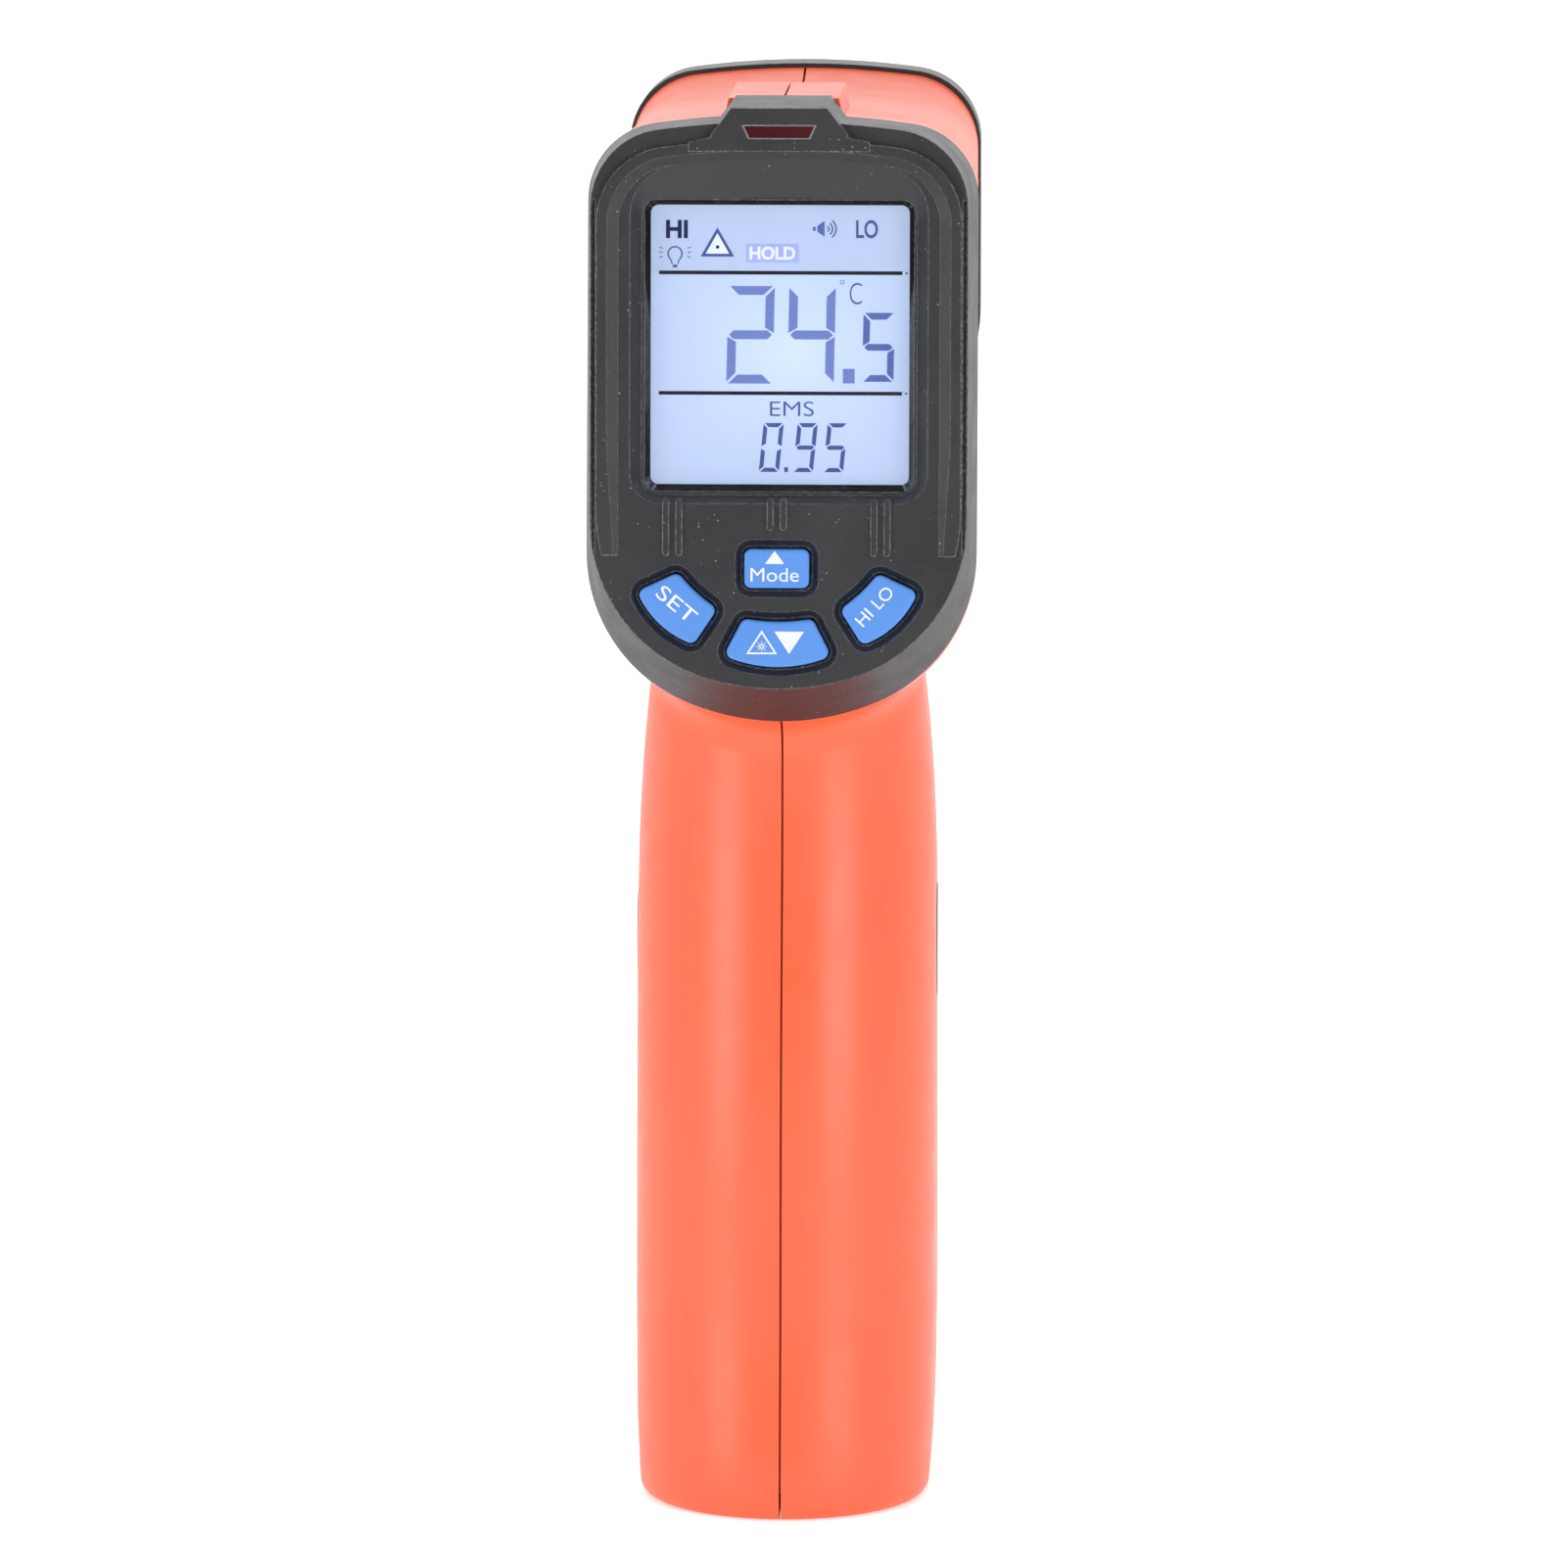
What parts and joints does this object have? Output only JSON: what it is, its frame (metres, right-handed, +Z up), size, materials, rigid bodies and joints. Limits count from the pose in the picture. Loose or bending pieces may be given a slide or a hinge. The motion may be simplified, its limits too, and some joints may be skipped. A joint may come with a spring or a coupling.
{
  "type": "infrared thermometer",
  "caption": "Pistol-shaped non-contact thermometer: orange two-half housing, dark rear bezel with lit display and keys, front trigger, battery door in the grip and round lens in the nose.",
  "frame": {"origin": "centre of the grip's flat base, which it can stand on", "axes": "+Z up along the grip, +Y towards the nose and the target, -Y towards the operator, +X to the operator's right"},
  "size_m": [0.0432, 0.0967, 0.1585],
  "materials": {
    "housing": "fine matte moulded orange ABS",
    "bezel": "dark grey moulded plastic with a fine spark texture",
    "nose": "dark grey moulded plastic",
    "keys": "blue silicone rubber",
    "carrier": "natural plastic",
    "window_red": "dark red transparent plastic",
    "window_clear": "clear acrylic",
    "gasket": "black foam",
    "lcd": "liquid crystal glass lit from behind, pale lavender blue",
    "diffuser": "white light guide",
    "led": "clear red lamp",
    "elastomer": "striped contact rubber",
    "frame_white": "white moulded plastic",
    "board": "green glass-fibre board with solder mask",
    "chips": "black epoxy packages",
    "steel": "zinc plated steel",
    "brass": "turned brass",
    "lens": "germanium-coloured infrared lens",
    "switch_black": "black moulded plastic",
    "ribbon": "grey flat cable",
    "battery_can": "printed metal jacket, plain",
    "nickel": "nickel plated contacts",
    "wire_red": "red insulation",
    "wire_black": "black insulation",
    "pad": "black foam pad",
    "badge": "glossy black insert",
    "trigger_plastic": "dark grey moulded plastic"
  },
  "bodies": {
    "root": {"housing_left": "housing", "housing_right": "housing", "housing_screws": "steel", "rear_bezel": "bezel", "status_window": "window_red", "status_led": "led", "display_window": "window_clear", "display_gasket": "gasket", "lcd_panel": "lcd", "lcd_backlight": "diffuser", "zebra_strip": "elastomer", "lcd_frame": "frame_white", "main_board": "board", "board_components": "chips", "board_screws": "steel", "buzzer": "switch_black", "tact_switches": "switch_black", "keypad_carrier": "carrier", "nose_bezel": "nose", "lens_barrel": "switch_black", "ir_lens": "lens", "lens_retainer": "switch_black", "thermopile_sensor": "nickel", "sensor_board": "board", "sensor_ribbon": "ribbon", "laser_module": "brass", "laser_window": "window_clear", "laser_clip": "switch_black", "laser_leads": "wire_red", "trigger_pin": "steel", "trigger_spring": "steel", "switch_body": "switch_black", "switch_board": "board", "battery": "battery_can", "battery_terminals": "nickel", "battery_snap": "wire_black", "battery_lead_red": "wire_red", "battery_lead_black": "wire_black", "grip_badge_left": "badge", "grip_badge_right": "badge"},
    "trigger_lever": {"trigger": "trigger_plastic"},
    "plunger": {"switch_plunger": "wire_red"},
    "set_button": {"set_key": "keys"},
    "mode_button": {"mode_key": "keys"},
    "laser_button": {"laser_key": "keys"},
    "hilo_button": {"hilo_key": "keys"},
    "door": {"battery_door": "housing", "battery_pad": "pad"}
  },
  "joints": [
    {"name": "trigger_pull", "type": "hinge", "parent": "root", "child": "trigger_lever", "pos_m": [0, 0.018, 0.102], "axis": [-1, 0, 0], "range_deg": [0, 7], "stiffness_Nm_per_rad": 0.6, "deforming": ["trigger_spring"]},
    {"name": "switch_press", "type": "slide", "parent": "root", "child": "plunger", "axis": [0, -1, 0], "range_m": [0, 0.0015]},
    {"name": "set_press", "type": "slide", "parent": "root", "child": "set_button", "axis": [0, 0.9962, -0.0872], "range_m": [0, 0.0008], "stiffness_N_per_m": 400},
    {"name": "mode_press", "type": "slide", "parent": "root", "child": "mode_button", "axis": [0, 0.9962, -0.0872], "range_m": [0, 0.0008], "stiffness_N_per_m": 400},
    {"name": "laser_press", "type": "slide", "parent": "root", "child": "laser_button", "axis": [0, 0.9962, -0.0872], "range_m": [0, 0.0008], "stiffness_N_per_m": 400},
    {"name": "hilo_press", "type": "slide", "parent": "root", "child": "hilo_button", "axis": [0, 0.9962, -0.0872], "range_m": [0, 0.0008], "stiffness_N_per_m": 400},
    {"name": "battery_door_swing", "type": "hinge", "parent": "root", "child": "door", "pos_m": [0, 0.0169, 0.007], "axis": [-1, 0, 0], "range_deg": [0, 45]}
  ],
  "couplings": [
    {"joint": "switch_press", "follows": "trigger_pull", "m_per_rad": 0.012}
  ]
}
